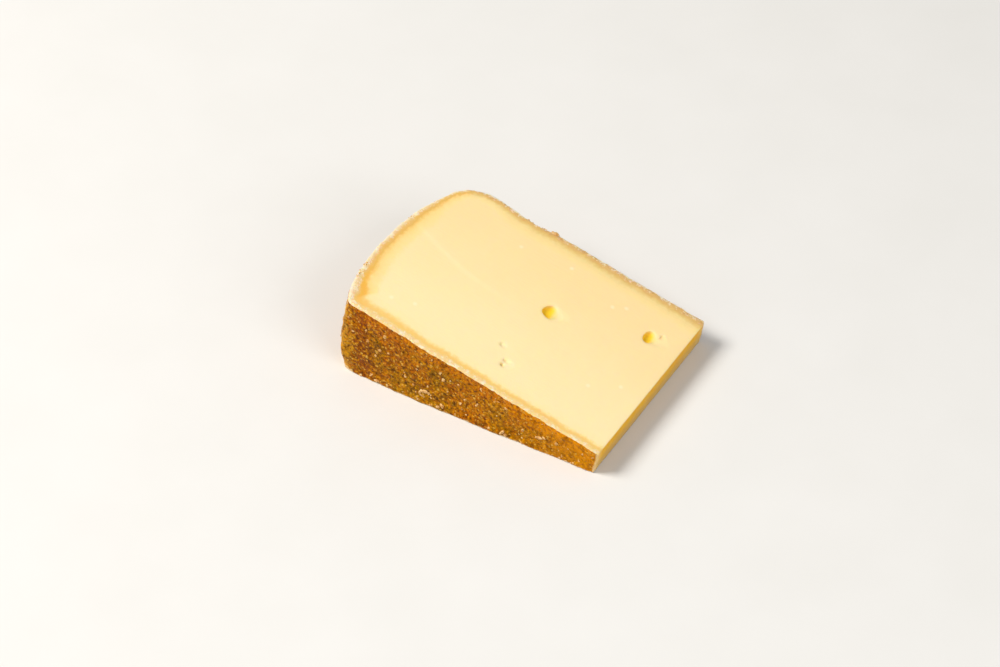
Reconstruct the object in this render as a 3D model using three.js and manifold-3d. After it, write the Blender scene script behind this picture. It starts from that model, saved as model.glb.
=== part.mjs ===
// A wedge of semi-hard mountain cheese with a washed rind, millimetres, +Z up.
//
// The wedge is a thin sector of a round wheel. It lies on one of its two cut
// faces, so the wheel's axis lies level, along Y, and the other cut face slopes
// down from the high rim at -X to the low tip at +X. The two flat rinds of the
// wheel are the upright faces at -Y and +Y, and the wheel's bulged rim is the
// face at -X. The point of the sector is cut away, which leaves the narrow
// paste face at +X. The origin is at the middle of the resting face's box.

import * as THREE from "three";
import * as BufferGeometryUtils from "three/addons/utils/BufferGeometryUtils.js";
import Module from "manifold-3d";

// The wheel that the wedge comes from.
const WHEEL_RADIUS = 152;
const WHEEL_HEIGHT = 78;
const RIM_BULGE_RADIUS = 98;
const RIM_BULGE_Y = -6; // where the rim is widest, from the wheel's mid height
const FRONT_EDGE_RADIUS = 3; // the rim's edge at the -Y rind, nearly sharp
const BACK_EDGE_RADIUS = 13.5; // the rim's edge at the +Y rind, well rounded

// The two cuts through the wheel's axis, and the cut that takes the point off.
const WEDGE_ANGLE = THREE.MathUtils.degToRad(13.25);
const TIP_RADIUS = 42.5; // from the wheel's axis to the tip cut, at the foot
const TIP_LEAN = THREE.MathUtils.degToRad(8.5); // the tip cut overhangs its foot

// Fineness of the faceted surface.
const WHEEL_SEGMENTS = 360;
const PROFILE_STEPS = 14;
const EYE_SEGMENTS = 16;
const OVERCUT = 10;

// The tip cut meets the sloping cut face at this distance from the wheel's axis.
const TIP_TOP_RADIUS = TIP_RADIUS / (1 + Math.tan(WEDGE_ANGLE) * Math.tan(TIP_LEAN));
const WHEEL_AXIS_X = (WHEEL_RADIUS + TIP_TOP_RADIUS) / 2;

// Eyes: gas holes that the upper cut has opened. "along" is the distance from
// the wheel's axis on the sloping face, "across" is Y, and "size" is the hole's
// full size along the slope, across it and into the paste, before it is sunk.
const EYES = [
  { along: 88, across: 5.2, size: [6.2, 6.8, 8], sink: 1 },
  { along: 54.2, across: 19.3, size: [4.6, 6.6, 6.5], sink: 0.8 },
  { along: 88.8, across: -26.2, size: [2, 2.4, 3], sink: 0.2 },
];

const wasm = await Module();
wasm.setup();

// Turns a closed three.js geometry into a solid that can be cut and joined.
function toSolid(geometry) {
  const bare = geometry.index ? geometry.toNonIndexed() : geometry.clone();
  bare.deleteAttribute("normal");
  bare.deleteAttribute("uv");
  const merged = BufferGeometryUtils.mergeVertices(bare, 1e-4);
  const vertProperties = new Float32Array(merged.attributes.position.array);
  const triVerts = new Uint32Array(merged.index.array);
  return new wasm.Manifold(new wasm.Mesh({ numProp: 3, vertProperties, triVerts }));
}

// Turns a solid back into a three.js geometry.
function toGeometry(solid) {
  const mesh = solid.getMesh();
  const geometry = new THREE.BufferGeometry();
  geometry.setAttribute("position", new THREE.BufferAttribute(mesh.vertProperties, 3));
  geometry.setIndex(new THREE.BufferAttribute(mesh.triVerts, 1));
  geometry.computeVertexNormals();
  return geometry;
}

// The centre of a rounded edge that touches a flat rind and the bulged rim.
function edgeCentre(radius, side) {
  const y = side * (WHEEL_HEIGHT / 2 - radius);
  const reach = Math.sqrt((RIM_BULGE_RADIUS - radius) ** 2 - (y - RIM_BULGE_Y) ** 2);
  return new THREE.Vector2(WHEEL_RADIUS - RIM_BULGE_RADIUS + reach, y);
}

// Half of the wheel's cross-section, from the axis round the rim to the axis.
function wheelProfile() {
  const bulge = new THREE.Vector2(WHEEL_RADIUS - RIM_BULGE_RADIUS, RIM_BULGE_Y);
  const front = edgeCentre(FRONT_EDGE_RADIUS, -1);
  const back = edgeCentre(BACK_EDGE_RADIUS, 1);
  const frontAngle = Math.atan2(front.y - bulge.y, front.x - bulge.x);
  const backAngle = Math.atan2(back.y - bulge.y, back.x - bulge.x);
  const path = new THREE.Path();
  path.moveTo(0, -WHEEL_HEIGHT / 2);
  path.lineTo(front.x, -WHEEL_HEIGHT / 2);
  path.absarc(front.x, front.y, FRONT_EDGE_RADIUS, -Math.PI / 2, frontAngle, false);
  path.absarc(bulge.x, bulge.y, RIM_BULGE_RADIUS, frontAngle, backAngle, false);
  path.absarc(back.x, back.y, BACK_EDGE_RADIUS, backAngle, Math.PI / 2, false);
  path.lineTo(0, WHEEL_HEIGHT / 2);
  return path.getPoints(PROFILE_STEPS);
}

// The whole wheel, its axis along Y through the origin.
function wheel() {
  return toSolid(new THREE.LatheGeometry(wheelProfile(), WHEEL_SEGMENTS));
}

// The block between the two cut faces and behind the tip cut. The shape is
// drawn with the rim to the left and the height upward, and extruded along Y.
function sector() {
  const reach = WHEEL_RADIUS + OVERCUT;
  const outline = new THREE.Shape();
  outline.moveTo(-TIP_RADIUS, 0);
  outline.lineTo(-TIP_TOP_RADIUS, TIP_TOP_RADIUS * Math.tan(WEDGE_ANGLE));
  outline.lineTo(-reach, reach * Math.tan(WEDGE_ANGLE));
  outline.lineTo(-reach, 0);
  const depth = WHEEL_HEIGHT + 2 * OVERCUT;
  const block = new THREE.ExtrudeGeometry(outline, { depth, bevelEnabled: false });
  block.rotateX(Math.PI / 2);
  block.translate(0, depth / 2, 0);
  return toSolid(block);
}

// One eye: an egg-shaped hollow, its long axis square to the sloping face.
function eye({ along, across, size, sink }) {
  const hollow = new THREE.SphereGeometry(0.5, EYE_SEGMENTS, EYE_SEGMENTS / 2);
  hollow.scale(size[0], size[1], size[2]);
  hollow.translate(-along, across, -sink);
  hollow.rotateY(WEDGE_ANGLE);
  return toSolid(hollow);
}

function wedgeGeometry() {
  let solid = wheel().intersect(sector());
  for (const place of EYES) {
    solid = solid.subtract(eye(place));
  }
  const geometry = toGeometry(solid);
  geometry.translate(WHEEL_AXIS_X, 0, 0);
  return geometry;
}

const cheese = new THREE.MeshStandardMaterial({
  color: 0xfde5a3,
  roughness: 0.55,
  metalness: 0,
});

const wedge = new THREE.Mesh(wedgeGeometry(), cheese);
wedge.name = "cheese_wedge";

const group = new THREE.Group();
group.add(wedge);

export default group;
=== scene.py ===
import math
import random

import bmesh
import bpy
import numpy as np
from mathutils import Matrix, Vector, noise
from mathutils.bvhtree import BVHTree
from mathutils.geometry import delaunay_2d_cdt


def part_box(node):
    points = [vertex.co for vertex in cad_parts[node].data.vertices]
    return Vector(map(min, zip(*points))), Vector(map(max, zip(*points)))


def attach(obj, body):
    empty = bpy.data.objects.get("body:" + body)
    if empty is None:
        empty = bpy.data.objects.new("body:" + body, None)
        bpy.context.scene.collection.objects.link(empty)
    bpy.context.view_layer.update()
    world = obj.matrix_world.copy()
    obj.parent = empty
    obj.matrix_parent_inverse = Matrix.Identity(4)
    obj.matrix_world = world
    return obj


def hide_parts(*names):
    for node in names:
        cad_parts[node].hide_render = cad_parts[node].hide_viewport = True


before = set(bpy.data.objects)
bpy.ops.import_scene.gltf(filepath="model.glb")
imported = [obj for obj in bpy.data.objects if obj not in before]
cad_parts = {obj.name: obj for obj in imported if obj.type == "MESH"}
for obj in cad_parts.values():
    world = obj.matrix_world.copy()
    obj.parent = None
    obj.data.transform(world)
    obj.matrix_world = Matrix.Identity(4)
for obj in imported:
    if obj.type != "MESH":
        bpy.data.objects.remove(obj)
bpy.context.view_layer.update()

# The looks of a wedge of semi-hard mountain cheese with a washed rind.
#
# The wedge is a thin sector of a wheel whose axis lies level along Y. It rests
# on one cut face, the other cut face slopes down from the rim at -X to the tip
# at +X, and the wheel's two flat rinds stand at -Y and +Y. Shapes are worked
# out in millimetres, mostly in the wheel's own coordinates: rho is the distance
# from the wheel's axis, y runs along it, and phi is the angle up from the
# resting face. Meshes are made in metres.

MM = 0.001

# noise_vector takes its offsets from this seed, and from the clock without one.
noise.seed_set(1)

# The wheel, as the CAD solid has it. The solid's box gives the lengths that follow.
LOW, HIGH = (np.array(corner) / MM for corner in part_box("cheese_wedge"))
WHEEL_RADIUS = 152.0
RIM_BULGE_RADIUS = 98.0
RIM_BULGE_Y = -6.0
FRONT_EDGE_RADIUS = 3.0
BACK_EDGE_RADIUS = 13.5
TIP_LEAN = math.radians(8.5)
HALF_HEIGHT = (HIGH[1] - LOW[1]) / 2
AXIS_X = LOW[0] + WHEEL_RADIUS
WEDGE_ANGLE = math.asin(HIGH[2] / WHEEL_RADIUS)
TIP_TOP = AXIS_X - HIGH[0]
TIP_FOOT = TIP_TOP * (1 + math.tan(WEDGE_ANGLE) * math.tan(TIP_LEAN))

# Fineness of the mesh.
COLUMN_STEP = 0.42
ROWS = 72
TIP_EDGE_STEP = 0.6
FINE_STEP = 0.45
TOP_FINE_BAND = 5.0  # how far in from the rind each cut face's mesh stays fine
REST_FINE_BAND = 3.0
FAR = 99.0  # a gap so wide that it limits nothing

# Mesh slots.
RIND = 0
PASTE = 1


# ---------------------------------------------------------------- the section

def edge_centre(radius, side):
    """Centre of the rounded edge between a flat rind and the bulged rim."""
    y = side * (HALF_HEIGHT - radius)
    reach = math.sqrt((RIM_BULGE_RADIUS - radius) ** 2 - (y - RIM_BULGE_Y) ** 2)
    return WHEEL_RADIUS - RIM_BULGE_RADIUS + reach, y


BULGE = (WHEEL_RADIUS - RIM_BULGE_RADIUS, RIM_BULGE_Y)
FRONT_EDGE = edge_centre(FRONT_EDGE_RADIUS, -1)
BACK_EDGE = edge_centre(BACK_EDGE_RADIUS, 1)


def angle_from_bulge(point):
    return math.atan2(point[1] - BULGE[1], point[0] - BULGE[0])


def section_columns():
    """Points and outward normals of the wheel's section, from the tip along the
    front rind, round the rim and back along the other rind to the tip. The last
    value of a point is how far it follows the tip cut: 1 at the tip, 0 at the rim."""
    columns = []

    def straight(rim_rho, y, to_rim):
        count = round((rim_rho - TIP_FOOT) / COLUMN_STEP)
        for i in range(count):
            share = i / count if to_rim else 1 - (i + 1) / count
            rho = TIP_FOOT + (rim_rho - TIP_FOOT) * share
            columns.append((rho, y, 0.0, math.copysign(1, y), 1 - share))

    def arc(centre, radius, start, end):
        count = max(4, round(radius * (end - start) / COLUMN_STEP))
        for i in range(count):
            a = start + (end - start) * i / count
            c, s = math.cos(a), math.sin(a)
            columns.append((centre[0] + radius * c, centre[1] + radius * s, c, s, 0.0))

    front, back = angle_from_bulge(FRONT_EDGE), angle_from_bulge(BACK_EDGE)
    straight(FRONT_EDGE[0], -HALF_HEIGHT, True)
    arc(FRONT_EDGE, FRONT_EDGE_RADIUS, -math.pi / 2, front)
    arc(BULGE, RIM_BULGE_RADIUS, front, back)
    arc(BACK_EDGE, BACK_EDGE_RADIUS, back, math.pi / 2)
    columns.append((BACK_EDGE[0], HALF_HEIGHT, 0.0, 1.0, 0.0))
    straight(BACK_EDGE[0], HALF_HEIGHT, False)
    return np.array(columns)


COLUMNS = section_columns()


def rind_depth(rho, y):
    """How deep a point of the section lies under the rind."""
    depth = HALF_HEIGHT - np.abs(y)
    bulge = RIM_BULGE_RADIUS - np.hypot(rho - BULGE[0], y - BULGE[1])
    depth = np.minimum(depth, bulge)
    edges = ((FRONT_EDGE, FRONT_EDGE_RADIUS, -1), (BACK_EDGE, BACK_EDGE_RADIUS, 1))
    for centre, radius, side in edges:
        across = rho - centre[0]
        along = (y - centre[1]) * side
        normal = angle_from_bulge(centre)
        past_bulge = math.cos(normal) * along - math.sin(normal) * side * across
        in_corner = (across > 0) & (past_bulge > 0)
        depth = np.where(in_corner, radius - np.hypot(across, along), depth)
    return depth


def rind_direction(rho, y):
    """The way in the section from a point to the nearest rind, as (rho, y)."""
    e = 0.01
    out_rho = rind_depth(rho - e, y) - rind_depth(rho + e, y)
    out_y = rind_depth(rho, y - e) - rind_depth(rho, y + e)
    return out_rho / (2 * e), out_y / (2 * e)


def tip_rho(phi):
    """Distance of the tip cut from the wheel's axis, at the angle phi."""
    return TIP_FOOT / (np.cos(phi) + np.sin(phi) * math.tan(TIP_LEAN))


def place(rho, y, phi):
    """Wheel coordinates to part coordinates."""
    rho, y, phi = np.broadcast_arrays(rho, y, phi)
    return np.stack([AXIS_X - rho * np.cos(phi), y, rho * np.sin(phi)], axis=-1)


def field(points, wavelength, seed, octaves=1):
    """Smooth noise, about -1 to 1, at each of the points."""
    shift = Vector((seed * 17.3, seed * 5.9, seed * 11.1))
    return np.array([
        noise.fractal(Vector(p) / wavelength + shift, 0.9, 2.0, octaves) for p in points
    ])


def pebbles(points, size, seed):
    """Rounded bumps, 0 between them and 1 on their tops, at each of the points."""
    shift = Vector((seed * 7.7, seed * 3.1, seed * 13.3))
    nearest = np.array([noise.voronoi(Vector(p) / size + shift)[0][0] for p in points])
    return np.clip(1 - (nearest / 0.62) ** 2, 0, 1)


# ------------------------------------------------------------------- the eyes

class Eye:
    """A gas hole that the upper cut has opened. It is steep towards the rim and
    runs out gently towards the tip. Its opening is given by how far it reaches
    from the middle in equally spaced directions: first towards the tip, then
    turning by way of +Y, the rim and -Y."""

    def __init__(self, rho, y, reaches, depth, segments, rings):
        self.rho, self.y = rho, y
        self.reaches = reaches
        self.depth = depth
        self.segments, self.rings = segments, rings
        self.angles = np.arange(segments) * 2 * math.pi / segments

    def opening(self):
        """Offsets of the opening's edge from the eye's middle, as (rho, y)."""
        waves = np.fft.rfft(self.reaches)
        waves[-1] /= 2
        reach = np.fft.irfft(waves, self.segments) * self.segments / len(self.reaches)
        return np.stack([-np.cos(self.angles) * reach, np.sin(self.angles) * reach], 1)

    def edge(self):
        return self.opening() + (self.rho, self.y)

    def hollow(self):
        """Rings of (rho, y, depth) from just inside the opening to the bottom."""
        edge = self.opening()
        gentle = 0.9 * (0.5 + 0.5 * np.cos(self.angles)) ** 1.2
        middle = np.array((0.22 * self.reaches[0], 0.0))
        rings = []
        for k in range(1, self.rings + 1):
            t = k / self.rings
            steep_reach = math.cos(t * math.pi / 2) ** 0.7
            gentle_reach = 1 - t
            steep_fall = math.sin(t * math.pi / 2)
            gentle_fall = 0.5 - 0.5 * math.cos(math.pi * t)
            reach = steep_reach + (gentle_reach - steep_reach) * gentle
            fall = steep_fall + (gentle_fall - steep_fall) * gentle
            flat = edge * reach[:, None] + middle * (1 - reach[:, None]) + (self.rho, self.y)
            rings.append(np.column_stack([flat, self.depth * fall]))
        return rings

    def painted_shade_glow(self, rho, y, below_cut):
        """How much painted glow each point inside a large eye shows: a deep yellow that stands for
        light through the paste on the shaded far wall.
        """
        near = np.hypot(rho - self.rho, y - self.y) < max(self.reaches) + 0.5
        past_slope = np.clip((rho - self.rho) / 1.4 + 1.3, 0, 1)
        return near * past_slope * np.clip((below_cut - 0.05) / 0.8, 0, 1)


# Each eye: rho, y, how far its opening reaches, depth, points round it and rings.
EYES = [
    Eye(87.9, 5.3, (4.5, 3.6, 3.5, 3.1, 3.1, 2.9, 2.9, 4.0), 1.45, 44, 12),
    Eye(54.3, 19.3, (3.6, 3.0, 3.1, 2.8, 2.4, 2.7, 3.1, 3.3), 1.4, 40, 11),
    Eye(88.8, -26.4, (1.3, 1.0, 0.8, 0.9, 0.8, 0.9, 0.9, 1.1), 0.62, 18, 6),
    Eye(88.7, -24.1, (1.6, 1.0, 0.7, 0.8, 1.1, 0.8, 0.7, 1.0), 0.35, 18, 6),
    Eye(93.4, -18.8, (1.1, 0.8, 0.7, 0.8, 0.7, 0.7, 0.6, 0.9), 0.17, 16, 5),
    Eye(50.9, 22.3, (1.0, 0.9, 1.0, 0.7, 0.6, 0.8, 1.1, 0.9), 0.28, 16, 5),
]
# The deep yellow of the large eyes is a painted glow of light through the paste on their shaded far
# walls.
LARGE_EYE_DEPTH = 1.0  # only eyes deeper than this show the deep yellow

# Shallow sunken places round the eyes: rho, y, radius and depth.
DISHES = [
    (83.6, 5.8, 3.6, 0.24),
    (50.2, 19.6, 3.8, 0.34),
    (87.4, -25.4, 3.0, 0.34),
    (92.9, -18.5, 2.2, 0.18),
]

# Pale crystals in the upper cut face: rho and y.
CRYSTALS = [
    (92.4, 28.2), (71.8, 22.5), (67.5, 25.3), (60.3, -14.6), (50.9, -7.4), (127.1, -23.6),
    (135.1, -26.6), (111.9, 24.8),
]


# The fine line that the knife left: where it bends, and how wide it is.
KNIFE_BEND = 119.0
KNIFE_RIDGE_WIDTH = 1.2


def knife_line(rho):
    """The y of the fine line that the knife left, coming in from the rim."""
    past = rho - KNIFE_BEND
    return 0.155 * (past + np.sqrt(past ** 2 + 36)) + 0.1


def knife_ridge(rho, y):
    """Height of that line, from 0 to 1. It fades out before the eye."""
    fade = np.clip((rho - 100) / 16, 0, 1) * np.clip((147 - rho) / 6, 0, 1)
    return fade * np.exp(-((y - knife_line(rho)) / KNIFE_RIDGE_WIDTH) ** 2)


# ----------------------------------------------------------- the wedge's skin

class Skin:
    """The points and faces of the wedge while it is being put together."""

    def __init__(self):
        self.points = []
        self.faces = []
        self.slots = []
        self.count = 0

    def add(self, points):
        """Adds points and returns their numbers."""
        numbers = np.arange(self.count, self.count + len(points))
        self.points.append(np.asarray(points, float).reshape(-1, 3))
        self.count += len(points)
        return numbers

    def face(self, corners, slot):
        self.faces.append(tuple(int(c) for c in corners))
        self.slots.append(slot)

    def ribbon(self, lower, upper, slot, closed=False):
        """Four-sided faces between two rows of points."""
        for i in range(len(lower) if closed else len(lower) - 1):
            j = (i + 1) % len(lower)
            self.face((lower[i], lower[j], upper[j], upper[i]), slot)

    def all_points(self):
        return np.concatenate(self.points)


def inside(points, loop):
    """Which of the flat points lie inside the loop."""
    x, y = points[:, 0], points[:, 1]
    result = np.zeros(len(points), bool)
    for (x0, y0), (x1, y1) in zip(loop, np.roll(loop, -1, axis=0)):
        if y0 == y1:
            continue
        crosses = (y0 > y) != (y1 > y)
        result ^= crosses & (x < x0 + (y - y0) * (x1 - x0) / (y1 - y0))
    return result


def hex_grid(low, high, step, spacing, clearance):
    """Points on grids of growing coarseness. spacing gives the wanted distance
    between points at each place, and clearance the room to the nearest edge."""
    kept = []
    for level in range(3):
        pitch = step * 2 ** level
        rows = np.arange(low[1], high[1], pitch * 0.866)
        columns = np.arange(low[0], high[0], pitch)
        u, v = np.meshgrid(columns, rows)
        u = u + (np.arange(len(rows)) % 2)[:, None] * pitch / 2
        flat = np.column_stack([u.ravel(), v.ravel()])
        flat = flat[clearance(flat) > 0.55 * pitch]
        wanted = spacing(flat)
        coarsest = level == 2
        kept.append(flat[(wanted >= pitch) & (coarsest | (wanted < 2 * pitch))])
    return np.concatenate(kept)


def fill(skin, loop, loop_flat, inner_flat, to_part, slot, holes=()):
    """Fills a flat face. loop numbers the skin's points round it and loop_flat
    gives their flat coordinates; inner_flat are new points inside, which to_part
    turns into part coordinates. Each hole is (numbers, flat coordinates)."""
    inner = skin.add(to_part(inner_flat))
    numbers = [np.asarray(loop)] + [np.asarray(hole[0]) for hole in holes] + [inner]
    flats = [loop_flat] + [hole[1] for hole in holes] + [inner_flat]
    edges = []
    start = 0
    for ring in flats[:-1]:
        n = len(ring)
        edges += [(start + i, start + (i + 1) % n) for i in range(n)]
        start += n
    numbers = np.concatenate(numbers)
    flat = np.concatenate(flats)
    verts, _, triangles, origins, _, _ = delaunay_2d_cdt(
        [Vector(p) for p in flat], edges, [list(range(len(loop)))], 1, 1e-7, True
    )
    back = np.array([numbers[o[0]] for o in origins])
    verts = np.array([tuple(v) for v in verts])
    corners = np.array(triangles)
    middles = verts[corners].mean(axis=1)
    keep = np.ones(len(corners), bool)
    for hole in holes:
        keep &= ~inside(middles, hole[1])
    for triangle in back[corners[keep]]:
        skin.face(triangle, slot)
    return inner


def wedge_skin():
    """The undisplaced skin, with the normals of the rind's points and the number of those points."""
    skin = Skin()
    rho, y, out_rho, out_y, follow = COLUMNS.T
    angles = np.linspace(0, WEDGE_ANGLE, ROWS + 1)

    grid = []
    rind_normals = []
    for phi in angles:
        shifted = rho + follow * (tip_rho(phi) - TIP_FOOT)
        grid.append(skin.add(place(shifted, y, phi)))
        outward = np.stack([-out_rho * math.cos(phi), out_y, out_rho * math.sin(phi)], 1)
        rind_normals.append(outward)
    for lower, upper in zip(grid, grid[1:]):
        skin.ribbon(lower, upper, RIND)
    rind_count = skin.count

    count = round(2 * HALF_HEIGHT / TIP_EDGE_STEP)
    across = np.linspace(HALF_HEIGHT, -HALF_HEIGHT, count + 1)[1:-1]
    tip_edges = [skin.add(place(tip_rho(phi), across, phi)) for phi in (0, WEDGE_ANGLE)]

    # The two cut faces, in flat coordinates (rho, y).
    cuts = ((0, grid[0], tip_edges[0]), (WEDGE_ANGLE, grid[-1], tip_edges[1]))
    for phi, row, tip_edge in cuts:
        tip = tip_rho(phi)
        shifted = rho + follow * (tip - TIP_FOOT)
        loop = np.concatenate([row, tip_edge])
        loop_flat = np.concatenate([
            np.column_stack([shifted, y]),
            np.column_stack([np.full(len(across), tip), across]),
        ])
        eyes = EYES if phi else []
        holes = [(skin.add(place(*eye.edge().T, phi)), eye.edge()) for eye in eyes]
        band = TOP_FINE_BAND if phi else REST_FINE_BAND

        def room(flat):
            return np.minimum(rind_depth(flat[:, 0], flat[:, 1]), flat[:, 0] - tip)

        def eye_room(flat):
            gaps = [
                np.hypot(flat[:, :1] - hole[1][:, 0], flat[:, 1:] - hole[1][:, 1]).min(axis=1)
                * np.where(inside(flat, hole[1]), -1, 1)
                for hole in holes
            ]
            return np.min(gaps, axis=0) if gaps else np.full(len(flat), FAR)

        def spacing(flat):
            near_rind = rind_depth(flat[:, 0], flat[:, 1]) - band
            near_tip = flat[:, 0] - tip - 0.5
            near_edge = np.minimum(near_rind, near_tip)
            near_eye = eye_room(flat) - 3.0
            near_line = np.abs(flat[:, 1] - knife_line(flat[:, 0])) - 1.0
            near_line[(flat[:, 0] < 104) | (phi == 0)] = FAR
            nearest = np.minimum(np.minimum(near_edge, near_eye), near_line)
            return FINE_STEP + 0.16 * np.clip(nearest, 0, None)

        def clearance(flat):
            return np.minimum(room(flat), eye_room(flat))

        inner = hex_grid(
            (tip, -HALF_HEIGHT), (WHEEL_RADIUS, HALF_HEIGHT), FINE_STEP, spacing, clearance
        )
        fill(
            skin, loop, loop_flat, inner,
            lambda flat, phi=phi: place(flat[:, 0], flat[:, 1], phi), PASTE, holes,
        )
        for eye, hole in zip(eyes, holes):
            outer = hole[0]
            rings = eye.hollow()
            for ring in rings[:-1]:
                inner_ring = skin.add(sunk(ring, phi))
                skin.ribbon(outer, inner_ring, PASTE, closed=True)
                outer = inner_ring
            bottom = skin.add(sunk(rings[-1][:1], phi))[0]
            for i in range(len(outer)):
                skin.face((outer[i], outer[(i + 1) % len(outer)], bottom), PASTE)

    # The tip cut, in flat coordinates (y, height up the cut).
    front = np.array([row[0] for row in grid])
    back = np.array([row[-1] for row in grid])
    height = tip_rho(angles) * np.sin(angles) / math.cos(TIP_LEAN)
    loop = np.concatenate([front, tip_edges[1][::-1], back[::-1], tip_edges[0]])
    loop_flat = np.concatenate([
        np.column_stack([np.full(ROWS + 1, -HALF_HEIGHT), height]),
        np.column_stack([across[::-1], np.full(len(across), height[-1])]),
        np.column_stack([np.full(ROWS + 1, HALF_HEIGHT), height[::-1]]),
        np.column_stack([across, np.zeros(len(across))]),
    ])
    inner = hex_grid(
        (-HALF_HEIGHT, 0), (HALF_HEIGHT, height[-1]), TIP_EDGE_STEP,
        lambda flat: np.full(len(flat), TIP_EDGE_STEP),
        lambda flat: np.minimum(
            HALF_HEIGHT - np.abs(flat[:, 0]), np.minimum(flat[:, 1], height[-1] - flat[:, 1])
        ),
    )
    fill(skin, loop, loop_flat, inner, up_the_tip, PASTE)
    return skin, np.concatenate(rind_normals), rind_count


def sunk(ring, phi):
    """Points under the upper cut face, from (rho, y, depth)."""
    normal = np.array((math.sin(phi), 0, math.cos(phi)))
    return place(ring[:, 0], ring[:, 1], phi) - ring[:, 2:] * normal


def up_the_tip(flat):
    """Points of the tip cut, from (y, height up the cut)."""
    x = AXIS_X - TIP_FOOT + flat[:, 1] * math.sin(TIP_LEAN)
    return np.column_stack([x, flat[:, 0], flat[:, 1] * math.cos(TIP_LEAN)])


# ------------------------------------------------------------ the fine relief

def rind_relief(points, rho, y, phi):
    """How far the rind stands out from the plain wheel."""
    relief = 0.34 * field(points, 20.0, 1, 2)
    relief += 0.30 * field(points, 5.5, 2, 2)
    patch = 0.65 + 0.6 * np.clip(field(points, 11.0, 3), -1, 1)
    relief += patch * (0.22 * pebbles(points, 2.4, 4) + 0.20 * pebbles(points, 1.25, 5) - 0.2)
    # Where handling has pressed in the back edge, near the rim.
    back = np.clip((y - 30) / 9, 0, 1)
    relief -= back * 1.1 * np.exp(-((rho - 115) / 7.5) ** 2) * (phi / WEDGE_ANGLE) ** 2
    # Where the front rind flares at its foot.
    front = np.clip((-30 - y) / 9, 0, 1)
    height = rho * np.sin(phi)
    relief += front * 0.8 * np.exp(-((rho - 98) / 32) ** 4) * np.exp(-(height / 2.2) ** 2)
    # Where the rim's sharper edge is worn at its top and, more, at its foot.
    from_edge = np.hypot(rho - FRONT_EDGE[0] - 2.1, y + HALF_HEIGHT - 0.9)
    below_cut = rho * (WEDGE_ANGLE - phi)
    wear = 0.5 * np.exp(-(below_cut / 8.0) ** 2) + 1.3 * np.exp(-(height / 4.5) ** 2)
    relief -= wear * np.exp(-(from_edge / 3.4) ** 2)
    return relief


def crust_ridge(points, depth):
    """The hard crust's rough cut, which stands a little over the paste."""
    torn = field(points, 1.3, 6, 2) * np.exp(-depth / 1.5)
    ridge = np.exp(-((depth - 1.2) / 0.9) ** 2) * (0.6 + field(points, 4.0, 15))
    edge = np.exp(-(depth / 0.3) ** 2) * (1 + 0.8 * field(points, 2.6, 7))
    return 0.15 * torn + 0.10 * ridge - 0.28 * edge


def top_relief(points, rho, y):
    """Height of the upper cut face over the plain cut."""
    depth = rind_depth(rho, y)
    relief = 0.16 * field(points, 34.0, 8) + 0.035 * field(points, 8.0, 9, 2)
    relief += crust_ridge(points, depth) + 0.05 * knife_ridge(rho, y)
    relief -= 0.18 * np.exp(-np.clip(rho - tip_rho(WEDGE_ANGLE), 0, None) / 0.35)
    flat = np.column_stack([rho, y])
    for eye in EYES:
        edge = eye.edge()
        gap = np.hypot(flat[:, :1] - edge[:, 0], flat[:, 1:] - edge[:, 1]).min(axis=1)
        gap[inside(flat, edge)] = 0
        relief -= 0.16 * np.exp(-(gap / 0.45) ** 2)
    for dish_rho, dish_y, radius, depth in DISHES:
        near = np.clip(1 - ((rho - dish_rho) ** 2 + (y - dish_y) ** 2) / radius ** 2, 0, 1)
        relief -= depth * near ** 2
    return relief


def rest_relief(points, rho, y):
    """How far the lower cut face stands clear of what it rests on."""
    depth = rind_depth(rho, y)
    relief = 0.10 * np.clip(field(points, 26.0, 10), 0, 1)
    relief += 0.30 * np.exp(-(depth / 0.35) ** 2) * (1 + 0.8 * field(points, 2.6, 11))
    relief += 0.18 * np.exp(-np.clip(rho - TIP_FOOT, 0, None) / 0.35)
    return np.clip(relief, 0, None)


def tip_relief(points, rho, y):
    """How far the tip cut stands out from the plain cut."""
    relief = 0.12 * field(points, 18.0, 12) + 0.04 * field(points, 4.0, 13, 2)
    return relief + crust_ridge(points, HALF_HEIGHT - np.abs(y))


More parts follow.
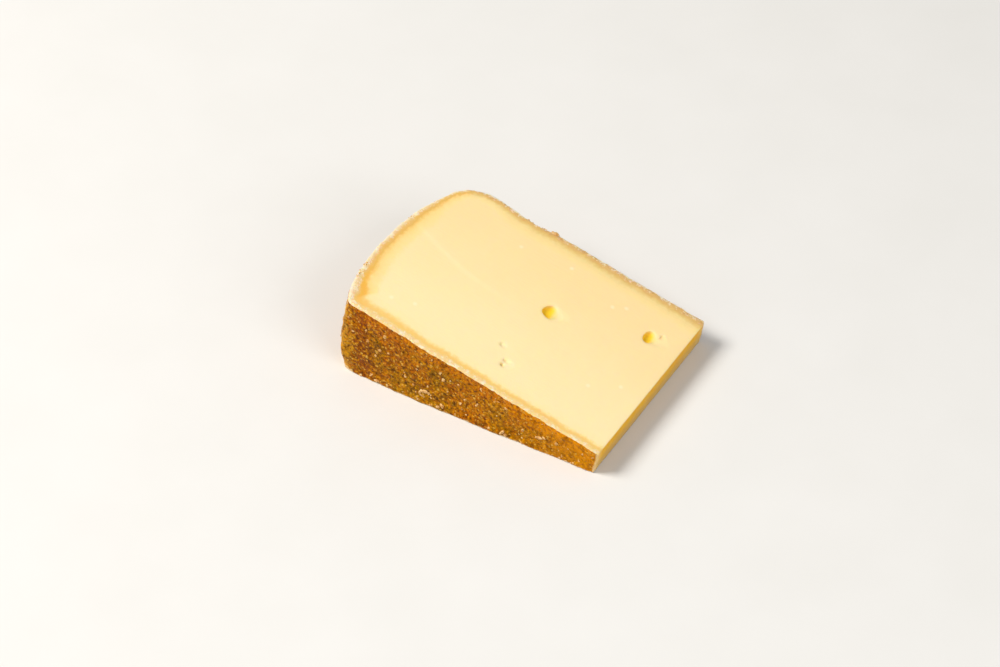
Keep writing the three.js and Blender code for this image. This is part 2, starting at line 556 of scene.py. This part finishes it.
def relieved(skin, rind_normals, rind_count):
    """The skin's points with all their relief, and what the materials need to
    know of each: how far under the rind and the upper cut it lies, how far from
    the rim's sharper edge, and what it is a part of."""
    points = skin.all_points()
    rho = np.hypot(AXIS_X - points[:, 0], points[:, 2])
    phi = np.arctan2(points[:, 2], AXIS_X - points[:, 0])
    y = points[:, 1]
    numbers = np.arange(len(points))
    top_normal = np.array((math.sin(WEDGE_ANGLE), 0, math.cos(WEDGE_ANGLE)))
    below_cut = -(points - (AXIS_X, 0, 0)) @ top_normal

    on_rind = numbers < rind_count
    on_top = below_cut < 1e-5
    on_rest = points[:, 2] < 1e-5
    on_tip = np.abs(rho - tip_rho(phi)) < 1e-5
    in_eye = ~(on_rind | on_top | on_rest | on_tip)

    # The rind moves along its normals, and takes the edges of the cuts with it.
    moved = points.copy()
    relief = rind_relief(points[on_rind], rho[on_rind], y[on_rind], phi[on_rind])
    moved[on_rind] += relief[:, None] * rind_normals
    depth = np.where(on_rind, 0, rind_depth(rho, y))
    share = np.clip(1 - depth / 5, 0, 1) ** 2
    led = ~(on_rind | in_eye) & (share > 0)
    out_rho, out_y = rind_direction(rho[led], y[led])
    rind_rho = rho[led] + depth[led] * out_rho
    rind_y = y[led] + depth[led] * out_y
    relief = rind_relief(place(rind_rho, rind_y, phi[led]), rind_rho, rind_y, phi[led])
    outward = np.stack([-out_rho * np.cos(phi[led]), out_y, out_rho * np.sin(phi[led])], 1)
    moved[led] += (relief * share[led])[:, None] * outward

    for where, height, normal in (
        (on_top | in_eye, top_relief, top_normal),
        (on_rest, rest_relief, np.array((0, 0, 1))),
        (on_tip, tip_relief, np.array((math.cos(TIP_LEAN), 0, -math.sin(TIP_LEAN)))),
    ):
        moved[where] += height(points[where], rho[where], y[where])[:, None] * normal
    for i in numbers[in_eye]:
        rough = noise.noise_vector(Vector(points[i]) / 1.6) * 0.22
        moved[i] += np.array(rough) * min(1, below_cut[i] / 1.5)
    large_eyes = [eye for eye in EYES if eye.depth > LARGE_EYE_DEPTH]
    facts = {
        "rind_depth": depth,
        "below_cut": below_cut,
        "front_edge": np.hypot(rho - FRONT_EDGE[0] - 2.6, y + HALF_HEIGHT - 1.5),
        "knife_ridge": np.where(on_top, knife_ridge(rho, y), 0),
        "in_eye": in_eye * below_cut,
        # Painted glow: how much of a large eye's shaded far wall is painted deep yellow.
        "painted_shade_glow": in_eye * sum(eye.painted_shade_glow(rho, y, below_cut) for eye in large_eyes),
        "on_tip": on_tip * 1.0,
    }
    return moved, facts


def new_object(name, mesh, materials):
    for material in materials:
        mesh.materials.append(material)
    piece = bpy.data.objects.new(name, mesh)
    bpy.context.scene.collection.objects.link(piece)
    return piece


def make_wedge(materials):
    skin, rind_normals, rind_count = wedge_skin()
    points, facts = relieved(skin, rind_normals, rind_count)
    mesh = bpy.data.meshes.new("wedge")
    mesh.from_pydata((points * MM).tolist(), [], skin.faces)
    mesh.polygons.foreach_set("material_index", skin.slots)
    mesh.polygons.foreach_set("use_smooth", [True] * len(skin.faces))
    for name, values in facts.items():
        attribute = mesh.attributes.new(name, "FLOAT", "POINT")
        attribute.data.foreach_set("value", np.asarray(values, np.float32))
    shape = bmesh.new()
    shape.from_mesh(mesh)
    bmesh.ops.recalc_face_normals(shape, faces=shape.faces)
    for edge in shape.edges:
        one, other = edge.link_faces
        if one.material_index != other.material_index or edge.calc_face_angle() > 0.9:
            edge.smooth = False
    shape.to_mesh(mesh)
    shape.free()
    return new_object("wedge", mesh, materials)


# ------------------------------------------------------------------ materials

def rgb(red, green, blue):
    """A colour given in 0 to 255, as the shader's linear values."""
    def linear(value):
        value /= 255
        return value / 12.92 if value <= 0.04045 else ((value + 0.055) / 1.055) ** 2.4
    return linear(red), linear(green), linear(blue), 1.0


class Shader:
    """A short way to write a material's nodes."""

    def __init__(self, name):
        self.material = bpy.data.materials.new(name)
        self.material.use_nodes = True
        self.tree = self.material.node_tree
        self.surface = self.tree.nodes["Principled BSDF"]
        coordinates = self.tree.nodes.new("ShaderNodeTexCoord")
        self.place = self.math_vector("SCALE", coordinates.outputs["Object"], scale=1 / MM)

    def put(self, socket, value):
        if isinstance(value, bpy.types.NodeSocket):
            self.tree.links.new(value, socket)
        else:
            socket.default_value = value

    def math_vector(self, operation, a, b=None, scale=None):
        node = self.tree.nodes.new("ShaderNodeVectorMath")
        node.operation = operation
        self.put(node.inputs[0], a)
        if b is not None:
            self.put(node.inputs[1], b)
        if scale is not None:
            self.put(node.inputs["Scale"], scale)
        return node.outputs["Value" if operation == "DISTANCE" else "Vector"]

    def math(self, operation, a, b=0.0):
        node = self.tree.nodes.new("ShaderNodeMath")
        node.operation = operation
        self.put(node.inputs[0], a)
        self.put(node.inputs[1], b)
        return node.outputs[0]

    def step(self, value, low, high, to_low=0.0, to_high=1.0):
        """A smooth change of value from low to high."""
        node = self.tree.nodes.new("ShaderNodeMapRange")
        node.interpolation_type = "SMOOTHSTEP"
        for socket, number in zip(node.inputs[1:5], (low, high, to_low, to_high)):
            self.put(socket, number)
        self.put(node.inputs[0], value)
        return node.outputs[0]

    def noise(self, size, detail=2.0, where=None, roughness=0.5):
        node = self.tree.nodes.new("ShaderNodeTexNoise")
        self.put(node.inputs["Vector"], where or self.place)
        node.inputs["Scale"].default_value = 1 / size
        node.inputs["Detail"].default_value = detail
        node.inputs["Roughness"].default_value = roughness
        return node.outputs["Fac"]

    def moved(self, distance):
        """The place, moved so that one noise there differs from another."""
        return self.math_vector("ADD", self.place, (distance, distance / 2, -distance))

    def warped(self, reach):
        """The place, shifted a little here and there, to make grains uneven."""
        node = self.tree.nodes.new("ShaderNodeTexNoise")
        self.put(node.inputs["Vector"], self.place)
        node.inputs["Scale"].default_value = 0.7 / reach
        shift = self.math_vector("SUBTRACT", node.outputs["Color"], (0.5, 0.5, 0.5))
        return self.math_vector("ADD", self.place, self.math_vector("SCALE", shift, scale=2 * reach))

    def cells(self, size, where=None):
        """Distance to the nearest grain, and a number that is the grain's own."""
        node = self.tree.nodes.new("ShaderNodeTexVoronoi")
        self.put(node.inputs["Vector"], where or self.place)
        node.inputs["Scale"].default_value = 1 / size
        split = self.tree.nodes.new("ShaderNodeSeparateColor")
        self.tree.links.new(node.outputs["Color"], split.inputs[0])
        return node.outputs["Distance"], split.outputs[0]

    def attribute(self, name):
        node = self.tree.nodes.new("ShaderNodeAttribute")
        node.attribute_name = name
        return node.outputs["Fac"]

    def axis(self, index):
        node = self.tree.nodes.new("ShaderNodeSeparateXYZ")
        self.tree.links.new(self.place, node.inputs[0])
        return node.outputs[index]

    def mix(self, factor, a, b):
        """Colour a where the factor is 0, and b where it is 1."""
        node = self.tree.nodes.new("ShaderNodeMix")
        node.data_type = "RGBA"
        self.put(node.inputs["Factor"], factor)
        self.put(node.inputs[6], a)
        self.put(node.inputs[7], b)
        return node.outputs[2]

    def ramp(self, value, stops, top):
        """A colour for each value from 0 to top, through (value, colour) stops."""
        node = self.tree.nodes.new("ShaderNodeValToRGB")
        self.put(node.inputs[0], self.math("DIVIDE", value, top))
        elements = node.color_ramp.elements
        elements.remove(elements[1])
        for i, (at, colour) in enumerate(stops):
            element = elements[0] if i == 0 else elements.new(at / top)
            element.position = at / top
            element.color = colour
        return node.outputs[0]

    def bump(self, height, strength, distance, normal=None):
        node = self.tree.nodes.new("ShaderNodeBump")
        node.inputs["Strength"].default_value = strength
        node.inputs["Distance"].default_value = distance * MM
        self.put(node.inputs["Height"], height)
        if normal is not None:
            self.put(node.inputs["Normal"], normal)
        return node.outputs["Normal"]


# Colours of the crust's section on the cut faces, by depth under the rind. The palest colours at the
# very edge of the rim and back bands are a painted highlight where that edge catches the light.
FRONT_BANDS = [
    (0.0, rgb(246, 208, 140)), (0.5, rgb(250, 216, 153)), (1.4, rgb(247, 213, 146)),
    (2.2, rgb(239, 203, 123)), (3.0, rgb(243, 206, 125)), (4.0, rgb(250, 220, 150)),
    (5.2, rgb(254, 228, 172)), (9.0, rgb(255, 229, 176)),
]
RIM_BANDS = [
    (0.0, rgb(248, 230, 200)), (0.45, rgb(243, 218, 174)), (1.2, rgb(238, 206, 148)),
    (2.1, rgb(231, 188, 108)), (3.0, rgb(230, 184, 92)), (4.0, rgb(244, 204, 122)),
    (5.0, rgb(251, 215, 140)), (7.0, rgb(253, 221, 152)), (9.0, rgb(254, 222, 156)),
]
BACK_BANDS = [
    (0.0, rgb(255, 242, 214)), (0.4, rgb(246, 220, 172)), (0.8, rgb(228, 188, 124)),
    (1.4, rgb(226, 182, 112)), (2.4, rgb(222, 180, 104)), (3.3, rgb(229, 195, 121)),
    (4.8, rgb(242, 214, 147)), (7.0, rgb(253, 221, 155)), (9.0, rgb(254, 221, 160)),
]
BAND_REACH = 9.0  # the depth at which the bands end


def paste_material():
    """The cut paste, with the crust's section round it in bands of colour."""
    m = Shader("paste")
    depth = m.attribute("rind_depth")
    wobble = m.math("MULTIPLY", m.math("SUBTRACT", m.noise(9.0, 3.0), 0.5), 2.8)
    fine = m.math("MULTIPLY", m.math("SUBTRACT", m.noise(1.5, 3.0), 0.5), 2.2)
    fade = m.step(depth, 0.0, 0.8)
    wavy = m.math("ADD", depth, m.math("MULTIPLY", m.math("ADD", wobble, fine), fade))
    x, y, height = (m.axis(i) for i in range(3))

    # The bands are narrower where the rim meets the back, and in front they
    # narrow from the rim to the tip.
    thin = m.math("MULTIPLY", m.step(x, -20.0, -36.0), m.step(y, 12.0, 33.0))
    wavy = m.math("MULTIPLY", wavy, m.math("ADD", m.math("MULTIPLY", thin, 0.75), 1.0))
    in_front = m.step(y, -24.0, -32.0)
    taper = m.math("MULTIPLY", in_front, m.step(x, -44.0, 16.0, -0.26, 0.14))
    wavy = m.math("MULTIPLY", wavy, m.math("ADD", taper, 1.0))

    # Which rind is the nearest one: the front, the back or else the rim.
    under_front = m.math("SUBTRACT", m.math("ADD", y, HALF_HEIGHT), depth)
    under_back = m.math("SUBTRACT", m.math("SUBTRACT", HALF_HEIGHT, y), depth)
    front = m.math("MULTIPLY", m.step(under_front, 2.4, 0.4), m.step(x, -50.0, -36.0, 0.35, 1.0))
    back = m.step(under_back, 4.5, 1.0)

    bands = m.mix(front, m.ramp(wavy, RIM_BANDS, BAND_REACH), m.ramp(wavy, FRONT_BANDS, BAND_REACH))
    bands = m.mix(back, bands, m.ramp(wavy, BACK_BANDS, BAND_REACH))
    # Painted light and shade: the paste is painted a little paler towards the front and darker towards
    # the back.
    from_back = m.math("ADD", y, m.math("MULTIPLY", m.noise(30.0, 3.0), 30.0))
    paste = m.mix(m.step(from_back, 45.0, -15.0), rgb(254, 221, 162), rgb(255, 229, 176))
    colour = m.mix(m.step(wavy, 7.0, 10.0), bands, paste)

    # A deeper orange line runs inside the rim's front end, and faintly along
    # the front.
    line = m.math("MULTIPLY", m.step(wavy, 1.6, 2.8), m.step(wavy, 4.8, 3.4))
    line = m.math("MULTIPLY", line, m.step(y, -12.0, -30.0))
    line = m.math("MULTIPLY", line, m.math("SUBTRACT", 0.75, m.math("MULTIPLY", front, 0.55)))
    colour = m.mix(line, colour, rgb(240, 182, 70))

    # The crust is fibrous: pale threads, and darker tan patches at the back that are painted shade in
    # the rough crust.
    in_crust = m.step(wavy, 2.5, 1.2)
    threads = m.math("MULTIPLY", in_crust, m.step(m.noise(1.7, 4.0, roughness=0.7), 0.5, 0.6))
    colour = m.mix(m.math("MULTIPLY", threads, 0.7), colour, rgb(255, 240, 212))
    at_back = m.math("MULTIPLY", back, m.math("MULTIPLY", in_crust, m.step(wavy, 0.35, 0.8)))
    crust_shade = m.math("MULTIPLY", at_back, m.step(m.noise(1.9, 4.0, roughness=0.65), 0.5, 0.6))
    colour = m.mix(m.math("MULTIPLY", crust_shade, 0.65), colour, rgb(204, 150, 88))
    colour = m.mix(m.math("MULTIPLY", m.attribute("knife_ridge"), 0.22), colour, rgb(255, 240, 196))

    # In the eyes the paste is painted darker with depth, as painted shade in the hollow; a large eye's
    # shaded far wall is painted a deep yellow, a painted glow of light through the paste; and the tip
    # cut is painted an amber that is partly painted shade and glow and partly the deeper yellow of a
    # drier, older cut.
    hollow_shade = m.step(m.attribute("in_eye"), 0.0, 0.6)
    colour = m.mix(m.math("MULTIPLY", hollow_shade, 0.8), colour, rgb(226, 208, 132))
    # Painted glow: a deep yellow on a large eye's shaded far wall, as light through the paste.
    colour = m.mix(m.attribute("painted_shade_glow"), colour, rgb(255, 203, 40))
    # The tip cut's amber is partly painted shade and glow, partly a drier cut's own deeper yellow.
    amber = m.mix(m.noise(5.0, 3.0), rgb(234, 170, 8), rgb(240, 184, 24))
    tip_shade_and_dry_yellow = m.mix(m.step(height, 1.0, 7.5), rgb(210, 166, 88), amber)
    on_tip = m.math("MULTIPLY", m.attribute("on_tip"), m.step(m.attribute("below_cut"), 0.0, 1.2))
    colour = m.mix(m.math("MULTIPLY", on_tip, m.step(wavy, 1.0, 5.0, 0.35, 1.0)), colour, tip_shade_and_dry_yellow)

    crystals = 0.0
    for rho, y in CRYSTALS:
        gap = m.math_vector("DISTANCE", m.place, tuple(place(rho, y, WEDGE_ANGLE)))
        crystals = m.math("MAXIMUM", crystals, m.step(gap, 1.2, 0.2))
    colour = m.mix(m.math("MULTIPLY", crystals, 0.42), colour, rgb(255, 246, 218))

    fibres = m.math("SUBTRACT", m.noise(0.5, 4.0, roughness=0.7), 0.5)
    normal = m.bump(m.math("MULTIPLY", fibres, in_crust), 0.9, 0.5)
    drag = m.tree.nodes.new("ShaderNodeMapping")
    drag.inputs["Scale"].default_value = (0.12, 1.0, 0.12)
    drag.inputs["Rotation"].default_value = (0, 0, 0.12)
    m.put(drag.inputs["Vector"], m.place)
    marks = m.noise(0.9, 3.0, where=drag.outputs[0])
    normal = m.bump(marks, 0.25, 0.12, normal)
    normal = m.bump(m.noise(0.6, 3.0), 0.2, 0.08, normal)

    m.put(m.surface.inputs["Base Color"], colour)
    m.put(m.surface.inputs["Roughness"], m.step(m.noise(2.0, 3.0), 0.3, 0.7, 0.46, 0.6))
    m.put(m.surface.inputs["Normal"], normal)
    m.surface.inputs["Specular IOR Level"].default_value = 0.3
    m.surface.inputs["Subsurface Weight"].default_value = 0.45
    m.surface.inputs["Subsurface Radius"].default_value = (1.0, 0.62, 0.22)
    m.surface.inputs["Subsurface Scale"].default_value = 3.0 * MM
    return m.material


def rind_material():
    """The washed rind: ochre to red-brown and pebbly, with golden grains, painted
    shade in its hollows, pale specks that are partly crystals and partly painted highlights, and pale
    dried fuzz at its foot and tip with painted highlights on the rim's sharper edge and under the upper
    cut."""
    m = Shader("rind")
    grit = m.noise(1.25, 5.0, roughness=0.68)
    tint = m.noise(1.9, 4.0, where=m.moved(71.0), roughness=0.6)
    x, y, height = (m.axis(i) for i in range(3))
    base = m.mix(m.step(m.noise(14.0, 3.0), 0.42, 0.58), rgb(158, 84, 0), rgb(190, 110, 0))
    olive = m.step(m.noise(12.0, 3.0, where=m.moved(23.0)), 0.42, 0.56)
    olive = m.math("MULTIPLY", olive, m.step(y, -28.0, -36.0, 0.35, 1.0))
    base = m.mix(olive, base, rgb(152, 101, 0))

    # The hue wanders from grain to grain, and from place to place: golden at
    # the rim end of the front, then a red-brown stain, and orange at the tip
    # and near the cut.
    base = m.mix(m.math("MULTIPLY", m.step(tint, 0.5, 0.62), 0.5), base, rgb(208, 112, 0))
    base = m.mix(m.math("MULTIPLY", m.step(tint, 0.5, 0.4), 0.5), base, rgb(164, 110, 0))
    wander = m.math("MULTIPLY", m.math("SUBTRACT", tint, 0.5), 16.0)
    along = m.math("ADD", x, wander)
    rim_end = m.math("MULTIPLY", m.step(along, -42.5, -46.0), m.step(y, -28.0, -36.0))
    base = m.mix(m.math("MULTIPLY", rim_end, 0.85), base, rgb(204, 142, 24))
    from_stain = m.math("ABSOLUTE", m.math("ADD", along, 40.0))
    stain = m.math("MULTIPLY", m.step(from_stain, 6.5, 1.0), m.step(y, 0.0, -30.0))
    base = m.mix(m.math("MULTIPLY", stain, 0.75), base, rgb(146, 64, 0))
    near_cut = m.math("MULTIPLY", m.step(m.attribute("below_cut"), 8.0, 0.5), m.step(x, -50.0, -36.0))
    tip_end = m.step(x, 5.0, 46.0)
    base = m.mix(m.math("MULTIPLY", tip_end, 0.62), base, rgb(224, 140, 0))
    orange = m.mix(tip_end, rgb(222, 118, 0), rgb(244, 152, 0))
    base = m.mix(m.math("MULTIPLY", near_cut, 0.6), base, orange)

    # Dark patches, painted shade in the pits, golden grains, and pale specks that are partly crystals
    # and partly painted highlights.
    patches = m.step(m.noise(3.6, 3.0, where=m.moved(47.0), roughness=0.6), 0.52, 0.36)
    base = m.mix(m.math("MULTIPLY", patches, 0.5), base, rgb(112, 56, 0))
    pit_strength = m.math("SUBTRACT", 0.85, m.math("MULTIPLY", tip_end, 0.4))
    pit_shade = m.math("MULTIPLY", m.step(grit, 0.48, 0.37), pit_strength)
    colour = m.mix(pit_shade, base, rgb(66, 32, 0))
    colour = m.mix(m.math("MULTIPLY", m.step(grit, 0.52, 0.62), 0.65), colour, rgb(232, 158, 8))
    lump, own = m.cells(2.1, where=m.warped(0.8))
    small, small_own = m.cells(1.15, where=m.warped(0.6))
    speck = m.math("MULTIPLY", m.step(lump, 0.36, 0.12), m.step(own, 0.58, 0.8))
    small_speck = m.math("MULTIPLY", m.step(small, 0.45, 0.15), m.step(small_own, 0.55, 0.85))
    # The pale specks are partly crystals and partly painted highlights.
    specks = m.math("MAXIMUM", speck, small_speck)
    colour = m.mix(m.math("MULTIPLY", specks, 0.75), colour, rgb(240, 184, 78))

    # Pale dried bloom along the foot and beside the tip cut, and painted highlights
    # on the rim's sharper edge and in a thin line under the upper cut, where those edges catch the
    # light.
    frayed = m.math("MULTIPLY", m.noise(2.0, 4.0), 1.6)
    above_foot = m.math("SUBTRACT", m.math("ADD", height, frayed), rim_end)
    foot = m.step(above_foot, 1.35, 0.8)
    # The rim's sharper edge is painted paler: a painted highlight.
    ragged = m.math("MULTIPLY", m.noise(1.8, 5.0, roughness=0.75), 5.0)
    edge = m.step(m.math("ADD", m.attribute("front_edge"), ragged), 3.4, 2.6)
    edge = m.math("MULTIPLY", edge, m.step(m.noise(6.0, 2.0, where=m.moved(31.0)), 0.4, 0.56, 0.2, 1.0))
    # A painted highlight: a thin pale line on the rim and back rinds just under the upper cut.
    brim_highlight = m.step(m.math("ADD", m.attribute("below_cut"), frayed), 1.3, 0.9)
    brim_highlight = m.math("MULTIPLY", brim_highlight, m.step(y, -38.0, -35.0))
    upright_x = m.math("SUBTRACT", x, m.math("MULTIPLY", height, math.tan(TIP_LEAN)))
    to_tip = m.math("SUBTRACT", AXIS_X - TIP_FOOT, upright_x)
    tip_edge = m.step(m.math("ADD", to_tip, frayed), 1.7, 1.0)
    upright_highlights = m.math("MAXIMUM", edge, brim_highlight)
    bloom_and_highlight = m.math("MAXIMUM", m.math("MAXIMUM", foot, tip_edge), upright_highlights)
    colour = m.mix(m.math("MULTIPLY", bloom_and_highlight, 0.8), colour, rgb(240, 204, 144))

    bumps = m.math("ADD", m.math("MULTIPLY", specks, 0.6), m.math("MULTIPLY", grit, 1.6))
    normal = m.bump(bumps, 0.9, 0.45)
    normal = m.bump(m.noise(0.55, 4.0, roughness=0.7), 0.5, 0.15, normal)

    m.put(m.surface.inputs["Base Color"], colour)
    m.put(m.surface.inputs["Roughness"], m.step(grit, 0.3, 0.7, 0.4, 0.62))
    m.put(m.surface.inputs["Normal"], normal)
    m.surface.inputs["Specular IOR Level"].default_value = 0.17
    m.surface.inputs["Specular Tint"].default_value = rgb(255, 196, 90)
    m.surface.inputs["Subsurface Weight"].default_value = 0.1
    m.surface.inputs["Subsurface Radius"].default_value = (1.0, 0.5, 0.15)
    m.surface.inputs["Subsurface Scale"].default_value = 1.2 * MM
    return m.material


def crumb_material():
    """Dried crumbs and flakes of crust."""
    m = Shader("crumb")
    colour = m.mix(m.step(m.noise(0.9, 3.0), 0.4, 0.62), rgb(202, 142, 72), rgb(240, 196, 132))
    m.put(m.surface.inputs["Base Color"], colour)
    m.put(m.surface.inputs["Normal"], m.bump(m.noise(0.35, 4.0, roughness=0.7), 0.8, 0.2))
    m.surface.inputs["Roughness"].default_value = 0.62
    m.surface.inputs["Specular IOR Level"].default_value = 0.25
    m.surface.inputs["Subsurface Weight"].default_value = 0.2
    m.surface.inputs["Subsurface Radius"].default_value = (1.0, 0.6, 0.3)
    m.surface.inputs["Subsurface Scale"].default_value = 1.0 * MM
    return m.material


# --------------------------------------------------------- crumbs and flakes

def crumb(shape, skin, near, length, width, thickness, rng):
    """One closed, lumpy crumb that lies half sunk in the nearest skin."""
    middle, outward, _, _ = skin.find_nearest(Vector(near) * MM)
    made = bmesh.ops.create_icosphere(shape, subdivisions=2 if length < 1.2 else 3, radius=1)
    spin = Matrix.Rotation(rng.uniform(0, math.tau), 3, "Z")
    turn = outward.to_track_quat("Z", "Y").to_matrix() @ spin
    shift = Vector([rng.uniform(-50, 50) for _ in range(3)])
    half = Vector((length / 2, width / 2, thickness / 2)) * MM
    for vertex in made["verts"]:
        lumpy = 1 + 0.42 * noise.fractal(vertex.co * 1.3 + shift, 0.8, 2.0, 3)
        vertex.co = middle + turn @ (vertex.co * half * lumpy)
        vertex.co.z = max(vertex.co.z, 0)


def rind_place(along, phi):
    """A point on the plain rind. along is 0 at the front of the tip and 1 at
    its back, by way of the rim."""
    rho, y = COLUMNS[round(along * (len(COLUMNS) - 1))][:2]
    return place(rho, y, phi)


# Flakes on the front rind: rho, height, length, width and thickness.
FRONT_FLAKES = [
    (103.4, 2.3, 2.0, 1.2, 0.9), (104.9, 1.2, 1.4, 1.0, 0.8),
    (64.7, 5.9, 3.4, 1.3, 0.7), (62.6, 6.8, 1.6, 0.9, 0.6), (133.0, 2.8, 1.8, 1.0, 0.8),
    (130.5, 1.2, 2.4, 1.2, 0.9), (79.0, 1.6, 2.8, 1.0, 0.8), (104.0, 15.0, 1.5, 1.2, 0.7),
    (130.1, 16.4, 1.6, 1.1, 0.7), (129.0, 24.0, 1.5, 1.2, 0.6), (119.0, 9.0, 1.2, 0.9, 0.6),
]

# A curled flake on the front rind, as a chain of crumbs: rho, height and size.
CURL = [
    (108.2, 5.0, 0.9), (109.0, 5.5, 1.2), (109.9, 5.8, 1.4), (110.9, 5.8, 1.5), (111.8, 5.4, 1.4),
    (112.5, 4.8, 1.3), (112.7, 4.0, 1.1), (112.3, 3.4, 1.0), (111.6, 3.1, 0.9), (110.9, 2.9, 0.8),
    (110.3, 5.3, 1.0), (111.3, 5.0, 0.9),
]

# Clusters of crumbs at the upper cut's edge: rho, y, spread, count, largest size.
EDGE_CRUMBS = [
    (105.0, 38.2, 2.0, 14, 1.9), (112.0, 37.6, 3.5, 12, 1.0), (58.2, 37.8, 3.0, 6, 0.8),
    (151.4, -19.8, 1.6, 5, 0.9), (150.3, -25.1, 1.4, 5, 0.9), (150.8, 10.7, 1.2, 4, 0.8),
    (128.0, 38.0, 2.5, 4, 0.6), (78.0, 38.6, 3.0, 4, 0.5),
]


# Crumbs strewn at random: along the rind's foot, and over the rest of it.
FOOT_CRUMBS = 80
RIND_CRUMBS = 110
FOOT_ANGLE = 0.014  # radians up from the resting face that the foot's crumbs reach
CRUMB_SEED = 7


def make_crumbs(wedge, material):
    rng = random.Random(CRUMB_SEED)
    skin = BVHTree.FromPolygons(
        [vertex.co for vertex in wedge.data.vertices],
        [tuple(face.vertices) for face in wedge.data.polygons],
    )
    shape = bmesh.new()

    def front_place(rho, height):
        return place(rho, -HALF_HEIGHT, math.asin(height / rho))

    for rho, height, length, width, thickness in FRONT_FLAKES:
        crumb(shape, skin, front_place(rho, height), length, width, thickness, rng)
    for rho, height, size in CURL:
        crumb(shape, skin, front_place(rho, height), size, 0.7 * size, 0.6 * size, rng)
    for rho, y, spread, count, size in EDGE_CRUMBS:
        at_back = y > HALF_HEIGHT - BACK_EDGE_RADIUS
        for _ in range(count):
            at_rho = rho + rng.gauss(0, spread / 2) * at_back
            at_y = y + rng.gauss(0, spread / 2) * (not at_back)
            outward = float(rind_depth(at_rho, at_y)) - rng.uniform(0.0, 0.7)
            at_y += outward * at_back
            at_rho += outward * (not at_back)
            near = place(at_rho, at_y, WEDGE_ANGLE - rng.uniform(0, 0.6) / at_rho)
            length = size * rng.uniform(0.4, 1.0)
            crumb(shape, skin, near, length, length * 0.8, length * 0.8, rng)
    for _ in range(FOOT_CRUMBS):
        near = rind_place(rng.random(), rng.uniform(0.0, FOOT_ANGLE))
        length = rng.uniform(0.4, 1.3)
        crumb(shape, skin, near, length, length * 0.7, 0.5, rng)
    for _ in range(RIND_CRUMBS):
        near = rind_place(rng.random(), rng.uniform(0.02, 0.97) * WEDGE_ANGLE)
        length = rng.uniform(0.5, 1.5)
        crumb(shape, skin, near, length, length * rng.uniform(0.4, 0.8), 0.5, rng)
    mesh = bpy.data.meshes.new("rind_crumbs")
    shape.to_mesh(mesh)
    shape.free()
    mesh.polygons.foreach_set("use_smooth", [True] * len(mesh.polygons))
    return new_object("rind_crumbs", mesh, [material])


# ------------------------------------------------------- floor, light, camera

FLOOR_REACH = 3.0
FLOOR_HEIGHT = -0.1 * MM  # just under the wedge, so that the two don't touch

# What the lamps and the camera look at, in metres.
LAMP_TARGET = Vector((0, 0, 0.015))
CAMERA_TARGET = Vector((-1.41, -8.65, 15.13)) * MM
CAMERA_AZIMUTH = 30.77
CAMERA_ELEVATION = 42.97
CAMERA_DISTANCE = 1.203


def make_stage():
    """The plain pale floor, and the even light of the studio round it."""
    mesh = bpy.data.meshes.new("floor")
    corners = [
        (side_x * FLOOR_REACH, side_y * FLOOR_REACH, FLOOR_HEIGHT)
        for side_x, side_y in ((-1, -1), (1, -1), (1, 1), (-1, 1))
    ]
    mesh.from_pydata(corners, [], [(0, 1, 2, 3)])
    floor_shader = Shader("floor")
    tone = floor_shader.mix(floor_shader.noise(40.0, 3.0), rgb(226, 224, 219), rgb(232, 230, 226))
    floor_shader.put(floor_shader.surface.inputs["Base Color"], tone)
    floor_shader.surface.inputs["Roughness"].default_value = 0.75
    new_object("floor", mesh, [floor_shader.material])

    world = bpy.data.worlds.new("studio")
    world.use_nodes = True
    backdrop = world.node_tree.nodes["Background"]
    backdrop.inputs["Color"].default_value = rgb(236, 238, 242)
    backdrop.inputs["Strength"].default_value = 0.36
    bpy.context.scene.world = world


def make_light(name, azimuth, elevation, distance, size, power, colour):
    """A soft square lamp that looks at the wedge's middle."""
    lamp = bpy.data.lights.new(name, "AREA")
    lamp.size = size
    lamp.energy = power
    lamp.color = colour
    piece = bpy.data.objects.new(name, lamp)
    bpy.context.scene.collection.objects.link(piece)
    aim(piece, LAMP_TARGET, azimuth, elevation, distance)


def aim(piece, target, azimuth, elevation, distance):
    """Puts a lamp or camera round the target and turns it to look there.
    Azimuth 0 looks along +Y, and a positive one stands further towards +X."""
    a, e = math.radians(azimuth), math.radians(elevation)
    back = Vector((math.sin(a) * math.cos(e), -math.cos(a) * math.cos(e), math.sin(e)))
    piece.location = target + back * distance
    piece.rotation_euler = back.to_track_quat("Z", "Y").to_euler()


def make_camera():
    camera = bpy.data.cameras.new("camera")
    camera.sensor_width = 36
    camera.lens = 122.5
    piece = bpy.data.objects.new("camera", camera)
    bpy.context.scene.collection.objects.link(piece)
    aim(piece, CAMERA_TARGET, CAMERA_AZIMUTH, CAMERA_ELEVATION, CAMERA_DISTANCE)
    bpy.context.scene.camera = piece


make_camera()
make_stage()
make_light("key", -62, 48, 1.9, 0.8, 36.5, (1.0, 0.97, 0.92))
make_light("fill", 70, 32, 1.4, 0.9, 7.5, (0.97, 0.98, 1.0))
bpy.context.scene.view_settings.view_transform = "Standard"

wedge = make_wedge([rind_material(), paste_material()])
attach(wedge, "root")
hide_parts("cheese_wedge")
crumbs = make_crumbs(wedge, crumb_material())
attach(crumbs, "root")
